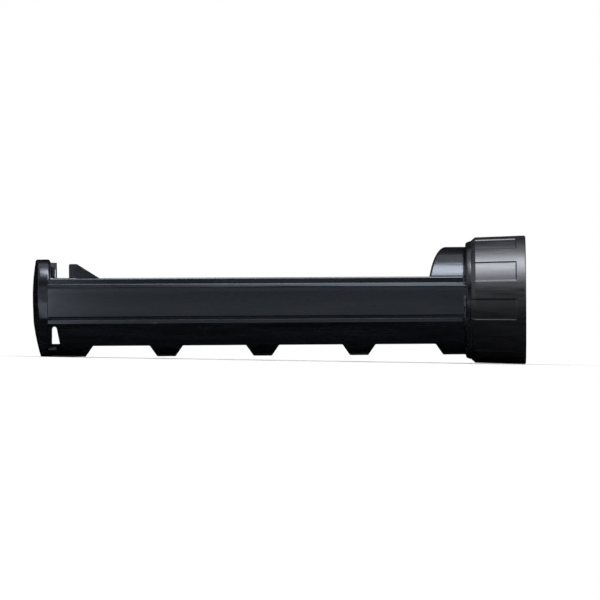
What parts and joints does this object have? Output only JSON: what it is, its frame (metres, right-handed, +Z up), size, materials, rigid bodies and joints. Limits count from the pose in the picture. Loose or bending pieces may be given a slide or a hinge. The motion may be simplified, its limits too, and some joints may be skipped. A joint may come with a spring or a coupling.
{
  "type": "caulking tool cartridge holder",
  "caption": "Open-topped black trough that carries a sealant cartridge, with a notched front plate and a turning threaded coupling ring.",
  "frame": {"origin": "centre of the coupling ring's rear face, on the thread's axis", "axes": "+X along the holder from the front plate to the coupling ring's rear face, +Z up out of the open trough; the picture looks along +Y"},
  "size_m": [0.271, 0.0708, 0.0708],
  "materials": {
    "cradle_nylon": "semi-gloss moulded black nylon",
    "ring_nylon": "satin moulded black nylon",
    "washer_acetal": "natural acetal",
    "spring_steel": "zinc plated",
    "nitrile_rubber": "greased black rubber"
  },
  "bodies": {
    "cradle_body": {"cradle": "cradle_nylon", "retaining_ring": "spring_steel", "friction_ring": "nitrile_rubber"},
    "ring_body": {"coupling_ring": "ring_nylon"},
    "washer_body": {"thrust_washer": "washer_acetal"}
  },
  "joints": [
    {"name": "ring_turn", "type": "hinge", "parent": "cradle_body", "child": "ring_body", "pos_m": [-0.0279, 0, 0], "axis": [1, 0, 0], "continuous": true},
    {"name": "washer_turn", "type": "hinge", "parent": "cradle_body", "child": "washer_body", "pos_m": [-0.0253, 0, 0], "axis": [1, 0, 0], "continuous": true}
  ]
}
